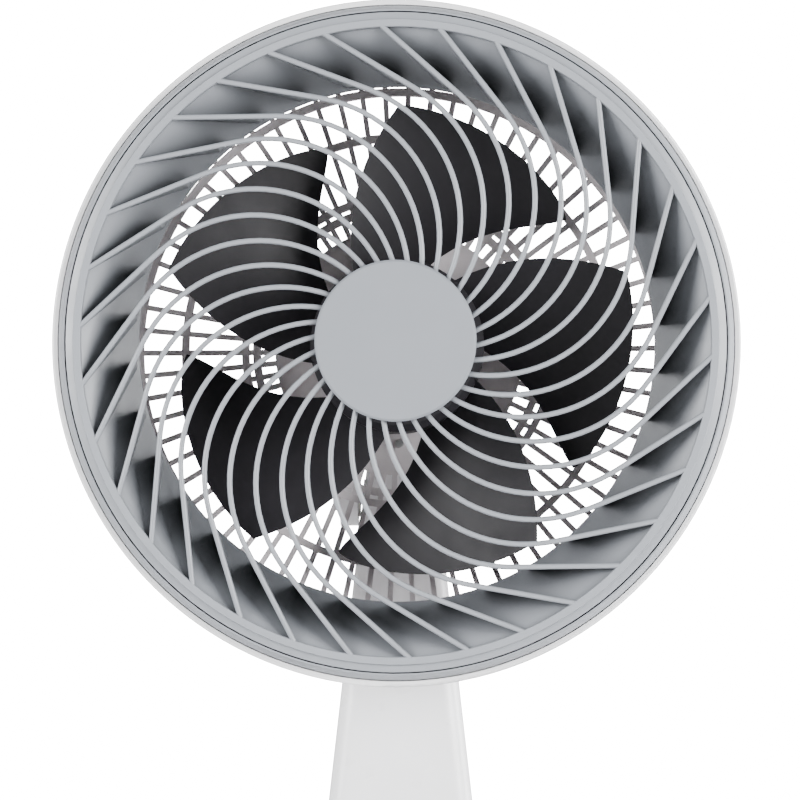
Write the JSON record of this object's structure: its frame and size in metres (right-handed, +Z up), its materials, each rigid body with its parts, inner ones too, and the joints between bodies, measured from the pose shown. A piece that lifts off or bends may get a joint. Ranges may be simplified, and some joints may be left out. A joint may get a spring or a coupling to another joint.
{
  "type": "desk air circulator fan",
  "caption": "Round-headed desk air circulator: swirled front grille, swept impeller, tilting drum head on a swivelling tapered neck over a weighted round base.",
  "frame": {"origin": "centre of the round base's rubber foot ring, on the surface the fan stands on, on the swivel axis", "axes": "+Z up along the swivel axis, +X to the right seen from the front, the fan blows towards -Y"},
  "size_m": [0.25, 0.1874, 0.4],
  "materials": {
    "grille_grey": "fine satin moulding",
    "cap_grey": "fine matte moulding",
    "rear_grey": "fine matte moulding",
    "shell_white": "semi gloss moulding",
    "blade_dark": "satin dark moulding",
    "base_grey": "matte moulding",
    "bare_steel": "turned and plated",
    "lamination_steel": "stacked laminations",
    "motor_aluminium": "die cast",
    "winding_copper": "enamelled copper wire",
    "magnet_black": "sintered ferrite",
    "acetal_natural": "low friction acetal",
    "ballast_iron": "rough casting",
    "soft_rubber": "matte rubber",
    "board_green": "solder mask",
    "panel_gloss": "glossy inlay",
    "button_grey": "soft touch",
    "lamp_clear": "clear light pipe"
  },
  "bodies": {
    "base": {"base_top_shell": "shell_white", "base_bottom_plate": "base_grey", "rubber_foot_ring": "soft_rubber", "ballast_weight": "ballast_iron", "base_screws": "bare_steel", "control_panel": "panel_gloss", "indicator_lamps": "lamp_clear", "control_board": "board_green", "tact_switches": "bare_steel", "power_inlet": "soft_rubber", "swing_motor": "bare_steel", "swivel_bush": "acetal_natural", "thrust_washer": "acetal_natural"},
    "column": {"swivel_turret": "shell_white", "swivel_gear": "acetal_natural", "gear_retainer": "bare_steel", "turret_screws": "bare_steel", "neck_front_shell": "shell_white", "neck_rear_shell": "shell_white", "neck_screws": "bare_steel", "motor_lead": "soft_rubber", "hinge_barrel": "bare_steel", "friction_washers": "acetal_natural"},
    "head": {"head_shell": "shell_white", "front_grille": "grille_grey", "hub_cap": "cap_grey", "bezel_ring": "grille_grey", "rear_grille": "rear_grey", "motor_front_bracket": "motor_aluminium", "motor_rear_bracket": "motor_aluminium", "stator_core": "lamination_steel", "stator_coils": "winding_copper", "front_bearing": "bare_steel", "rear_bearing": "bare_steel", "motor_driver_board": "board_green", "motor_screws": "bare_steel", "pod_cover": "shell_white", "pod_screws": "bare_steel", "hinge_pin": "bare_steel", "hinge_nut": "bare_steel"},
    "rotor": {"impeller": "blade_dark", "impeller_nut": "blade_dark", "motor_shaft": "bare_steel", "rotor_core": "lamination_steel", "rotor_magnet": "magnet_black"},
    "pinion": {"swing_pinion": "acetal_natural"},
    "timer_button": {"timer_button": "button_grey"},
    "speed_down_button": {"speed_down_button": "button_grey"},
    "power_button": {"power_button": "button_grey"},
    "speed_up_button": {"speed_up_button": "button_grey"},
    "swing_button": {"swing_button": "button_grey"}
  },
  "joints": [
    {"name": "swivel", "type": "hinge", "parent": "base", "child": "column", "pos_m": [0, 0, 0.034], "axis": [0, 0, 1], "range_deg": [-40, 40]},
    {"name": "tilt", "type": "hinge", "parent": "column", "child": "head", "pos_m": [0, 0.004, 0.221], "axis": [-1, 0, 0], "range_deg": [-10, 30]},
    {"name": "fan_spin", "type": "hinge", "parent": "head", "child": "rotor", "pos_m": [0, -0.05, 0.275], "axis": [0, -1, 0], "continuous": true},
    {"name": "pinion_spin", "type": "hinge", "parent": "base", "child": "pinion", "pos_m": [0, 0.02886, 0.018], "axis": [0, 0, 1], "range_deg": [-120, 120]},
    {"name": "timer_press", "type": "slide", "parent": "base", "child": "timer_button", "axis": [0, 0, -1], "range_m": [0, 0.001], "stiffness_N_per_m": 250, "springref_m": -0.0012},
    {"name": "speed_down_press", "type": "slide", "parent": "base", "child": "speed_down_button", "axis": [0, 0, -1], "range_m": [0, 0.001], "stiffness_N_per_m": 250, "springref_m": -0.0012},
    {"name": "power_press", "type": "slide", "parent": "base", "child": "power_button", "axis": [0, 0, -1], "range_m": [0, 0.001], "stiffness_N_per_m": 250, "springref_m": -0.0012},
    {"name": "speed_up_press", "type": "slide", "parent": "base", "child": "speed_up_button", "axis": [0, 0, -1], "range_m": [0, 0.001], "stiffness_N_per_m": 250, "springref_m": -0.0012},
    {"name": "swing_press", "type": "slide", "parent": "base", "child": "swing_button", "axis": [0, 0, -1], "range_m": [0, 0.001], "stiffness_N_per_m": 250, "springref_m": -0.0012}
  ],
  "couplings": [
    {"joint": "pinion_spin", "follows": "swivel", "ratio": -3}
  ]
}
